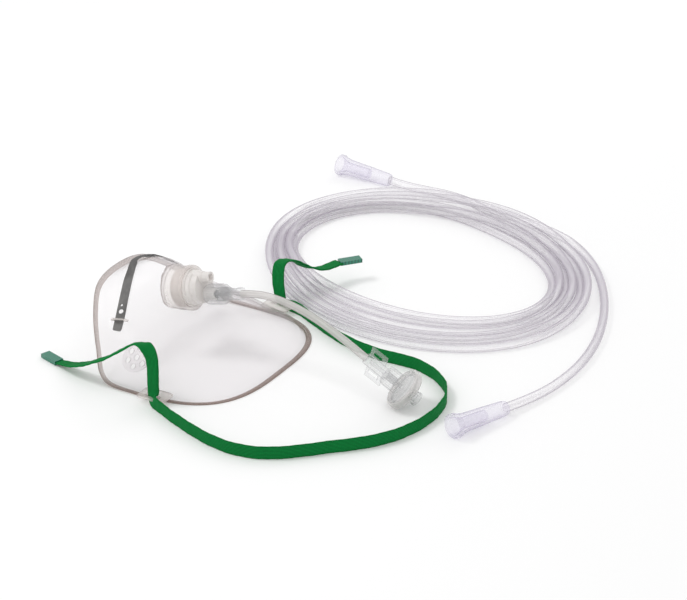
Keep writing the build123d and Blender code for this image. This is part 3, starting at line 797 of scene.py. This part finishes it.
VENT_CENTRE = (-9, 47.4, 14.5)
VENT_NORMAL = (0.0, 0.86, 0.51)
VENT_PAD_R = 8.0
VENT_HOLE_R = 1.6
VENT_PITCH_R = 5.0
VENT_PAD_PROUD = 0.35
EAR_X, EAR_Z = 12.0, 3.0
EAR_THICK = 1.6
EAR_MIDDLE_Y, EAR_HALF = 61.4, (8.5, 5.6)
SLOT_Y, SLOT_HALF = 63.2, (4.5, 1.2)
CLIP_TOP, CLIP_END = (-39.5, 0.0), (-26.5, 38.5)
CLIP_BAR_Y = 34.5
CLIP_NORMAL = (-0.2, 0.74, 0.64)
BAR_HALF_LENGTH, BAR_HALF_WIDTH = 4.5, 1.1
BAR_PASSAGE = 2.9
BAR_LOW, BAR_HIGH = 1.35, 2.4
RIM_ROWS = (100, 103)                # rows of faces on the lip, counted down from the crown
TURRET_R = 12.0
TURRET_FOOT_R = 12.9
TURRET_BORE_R = 10.5
TURRET_LENGTH = 12.5


def vent_spots(side):
    """Centres of the seven vent holes on one cheek."""
    place = axis_frame((VENT_CENTRE[0], side * VENT_CENTRE[1], VENT_CENTRE[2]),
                       (VENT_NORMAL[0], side * VENT_NORMAL[1], VENT_NORMAL[2]))
    spots = [place @ Vector((0, 0, 0))]
    for i in range(6):
        angle = math.radians(60 * i)
        spots.append(place @ Vector((VENT_PITCH_R * math.cos(angle), VENT_PITCH_R * math.sin(angle), 0)))
    return spots, place


def oval_ring(middle, half, z, side, squareness, grow=0.0, segments=64):
    """Level ring of points round a rounded rectangle."""
    ring = []
    for j in range(segments):
        angle = 2 * math.pi * j / segments
        c, s = math.cos(angle), math.sin(angle)
        x = (half[0] + grow) * math.copysign(abs(c) ** (2 / squareness), c)
        y = (half[1] + grow) * math.copysign(abs(s) ** (2 / squareness), s)
        ring.append((middle[0] + x, side * (middle[1] + y), z))
    return ring


def make_ear(side, material):
    """Flat lug with the slot that the strap goes through."""
    low, high = EAR_Z, EAR_Z + EAR_THICK
    edge, slot = (EAR_X, EAR_MIDDLE_Y), (EAR_X, SLOT_Y)
    rings = [oval_ring(slot, SLOT_HALF, low + 0.3, side, 5), oval_ring(slot, SLOT_HALF, low, side, 5, 0.3),
             oval_ring(edge, EAR_HALF, low, side, 7, -0.4), oval_ring(edge, EAR_HALF, low + 0.4, side, 7),
             oval_ring(edge, EAR_HALF, high - 0.4, side, 7), oval_ring(edge, EAR_HALF, high, side, 7, -0.4),
             oval_ring(slot, SLOT_HALF, high, side, 5, 0.3), oval_ring(slot, SLOT_HALF, high - 0.3, side, 5)]
    points, faces = stitched(rings + rings[:1])
    count = len(rings[0])
    last = len(rings) * count
    points = points[:last]
    faces = [tuple(i - last if i >= last else i for i in face) for face in faces]
    name = "ear_left" if side > 0 else "ear_right"
    ear = mesh_object(name, points, faces, "mask", material)
    outward(ear)


def on_shell(surface, place, normal, proud):
    """Point a given height above the shell, found along a direction."""
    start = (Vector(place) + normal * 25) * MM
    hit, _, _, _ = surface.ray_cast(start, -normal)
    return hit / MM + normal * proud


def make_vent_pad(side, surface, material):
    """Raised round pad on one cheek, pierced by the vent holes."""
    spots, place = vent_spots(side)
    normal = (place.to_3x3() @ Vector((0, 0, 1))).normalized()
    top = [(r, VENT_PAD_PROUD) for r in (1, 2, 3, 4, 5, 6, 7, 7.6)] + [(7.9, 0.22), (VENT_PAD_R, 0.05)]
    under = [(r, -0.5) for r in (VENT_PAD_R, 7, 6, 5, 4, 3, 2, 1)]
    rows = []
    for r, proud in top + under:
        rows.append([on_shell(surface, place @ Vector((r * math.cos(a), r * math.sin(a), 0)), normal, proud)
                     for a in np.linspace(0, 2 * math.pi, 72, endpoint=False)])
    points, faces = stitched(rows, on_shell(surface, spots[0], normal, VENT_PAD_PROUD),
                             on_shell(surface, spots[0], normal, -0.5))
    name = "vent_pad_left" if side > 0 else "vent_pad_right"
    pad = mesh_object(name, points, faces, "mask", material)
    outward(pad)
    for spot in spots:
        cut(pad, scratch_object("cutter", *rod(VENT_HOLE_R, spot, normal, 14)))
    pad.data.shade_smooth()


def make_clip_bar(side, surface, material):
    """Moulded bridge over the nose clip, near its end."""
    part = CLIP_BAR_Y / CLIP_END[1]
    spot = Vector((CLIP_TOP[0] + part * (CLIP_END[0] - CLIP_TOP[0]), side * CLIP_BAR_Y, 26))
    lean = math.radians(70)
    along = Vector((math.cos(lean), side * math.sin(lean), 0))
    across = Vector((-side * math.sin(lean), math.cos(lean), 0))
    normal = Vector((CLIP_NORMAL[0], side * CLIP_NORMAL[1], CLIP_NORMAL[2])).normalized()
    rows = []
    for t in (-1, -0.97, -0.85, -0.7, -0.65, -0.64, -0.4, 0, 0.4, 0.64, 0.65, 0.7, 0.85, 0.97, 1):
        run = t * BAR_HALF_LENGTH
        low = BAR_LOW if abs(run) < BAR_PASSAGE else -0.5
        high = BAR_HIGH * (1 - abs(t) ** 8 * 0.8)
        base = on_shell(surface, spot + across * run, normal, 0)
        row = []
        for j in range(16):
            angle = 2 * math.pi * j / 16
            wide = math.copysign(abs(math.cos(angle)) ** 0.6, math.cos(angle)) * BAR_HALF_WIDTH
            up = math.copysign(abs(math.sin(angle)) ** 0.6, math.sin(angle)) * (high - low) / 2
            row.append(base + along * wide + normal * ((low + high) / 2 + up))
        rows.append(row)
    middles = [sum(rows[i], Vector()) / 16 for i in (0, -1)]
    points, faces = stitched(rows, *middles)
    name = "clip_bar_left" if side > 0 else "clip_bar_right"
    bar = mesh_object(name, points, faces, "mask", material)
    outward(bar)


def make_mask(shell_material, rim_material, turret_material):
    """Shell with its pierced cheeks, and the turret, ears, vent pads and clip bars on it."""
    outer, inner, crown = shell_rows()
    top = crown + np.array([0, 0, LEVELS[-1][0] + CROWN_RISE])
    points, faces = stitched(outer + inner, top, top - np.array([0, 0, WALL]))
    shell = mesh_object("shell", points, faces, "mask", shell_material)
    outward(shell)
    shell.data.materials.append(rim_material)
    count = len(outer[0])
    for polygon in shell.data.polygons[RIM_ROWS[0] * count:RIM_ROWS[1] * count]:
        polygon.material_index = 1
    cutters = [rod(TURRET_R + 0.1, LIP_CENTRE - AXIS * 5, AXIS, 22, 96)]
    for side in (1, -1):
        spots, place = vent_spots(side)
        normal = place.to_3x3() @ Vector((0, 0, 1))
        cutters += [rod(VENT_HOLE_R, spot, normal, 14) for spot in spots]
    surface = BVHTree.FromPolygons([Vector(p) * MM for p in points], faces)
    for cutter in cutters:
        cut(shell, scratch_object("cutter", *cutter))
    shell.data.shade_smooth()
    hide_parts("mask_shell")
    for side in (1, -1):
        make_ear(side, turret_material)
        make_vent_pad(side, surface, shell_material)
        make_clip_bar(side, surface, turret_material)

    hollow_points, hollow_faces = stitched(inner, None, top - np.array([0, 0, WALL]))
    hollow_points.append((0, 0, -3))
    tip = len(hollow_points) - 1
    hollow_faces += [((j + 1) % count, j, tip) for j in range(count)]
    post = turned_piece("turret", [(-15.0, TURRET_FOOT_R), (-TURRET_LENGTH + 2.4, TURRET_FOOT_R),
                                   (-TURRET_LENGTH + 3.6, TURRET_R), (-1.9, TURRET_R),
                                   (-1.7, TURRET_R + 0.35),
                                   (0, TURRET_R + 0.3), (0, TURRET_BORE_R), (-15.0, TURRET_BORE_R)],
                        LIP_CENTRE, AXIS, "mask", turret_material, 0.45, 96)
    outward(post)
    cut(post, scratch_object("hollow", hollow_points, hollow_faces))
    post.data.shade_smooth()


# ---------------------------------------------------------------- put together
make_camera()
make_floor()
make_light()

supply_material = tube_vinyl("supply_vinyl_clear", (0.955, 0.94, 0.958), (0.52, 0.48, 0.54),
                             (0.72, 0.69, 0.735),
                             (0.994, 0.991, 0.996), cover_face=0.12, cover_bore=0.34, cover_edge=0.58)
sample_material = tube_vinyl("sample_vinyl_clear", (0.84, 0.82, 0.81), (0.42, 0.39, 0.38), (0.62, 0.58, 0.57),
                             (0.97, 0.965, 0.96), cover_face=0.5, cover_bore=0.6, cover_edge=0.8)
shell_material = clear_vinyl("clear_shell_vinyl", (0.76, 0.72, 0.74), (0.12, 0.08, 0.07),
                             open_face=0.03, open_edge=0.75,
                             power=5.0, see=(0.987, 0.982, 0.985), shine=0.45)
rim_material = clear_vinyl("rim_vinyl", (0.30, 0.20, 0.16), (0.10, 0.055, 0.04),
                           open_face=0.45, open_edge=0.95,
                           power=1.5, see=(0.93, 0.90, 0.89), shine=0.3)
turret_material = clear_vinyl("turret_vinyl", (0.88, 0.84, 0.82), (0.24, 0.18, 0.16),
                              open_face=0.26, open_edge=0.85,
                              power=2.8, see=(0.985, 0.972, 0.965))
fitting_material = clear_vinyl("fitting_clear", (0.86, 0.86, 0.865), (0.20, 0.20, 0.21),
                               open_face=0.09, open_edge=0.75,
                               power=2.6, see=(0.972, 0.972, 0.974))
cuff_material = clear_vinyl("cuff_clear", (0.87, 0.85, 0.92), (0.24, 0.19, 0.34),
                            open_face=0.08, open_edge=0.82,
                            power=2.2, see=(0.972, 0.965, 0.986))
cap_material = frosted_plastic("frosted_cap_plastic", (0.86, 0.83, 0.81), (0.62, 0.56, 0.53), 0.72)
band_material = frosted_plastic("seal_band_plastic", (0.80, 0.80, 0.80), (0.55, 0.55, 0.55), 0.35, 0.25)
elastic_material = woven_elastic()
strip_material = brushed_strip()
film_material = crimped_film()
membrane_material = porous_film()

supply, supply_route = make_supply_tube(supply_material)
sample, sample_route = make_sample_tube(sample_material)
strap, strap_line = make_strap(elastic_material)
make_mask(shell_material, rim_material, turret_material)

NODE_MATERIALS = {
    "nose_clip": strip_material,
    "inlet_cap": cap_material,
    "luer_lock_nut": fitting_material,
    "luer_adapter": fitting_material,
    "winged_luer": fitting_material,
    "filter_inlet_half": fitting_material,
    "filter_outlet_half": fitting_material,
    "filter_membrane": membrane_material,
    "filter_seal_band": band_material,
    "strap_tip_near": film_material,
    "strap_tip_far": film_material,
    "cuff_connector_a": cuff_material,
    "cuff_connector_b": cuff_material,
}
for node, material in NODE_MATERIALS.items():
    for material_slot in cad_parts[node].material_slots:
        material_slot.material = material
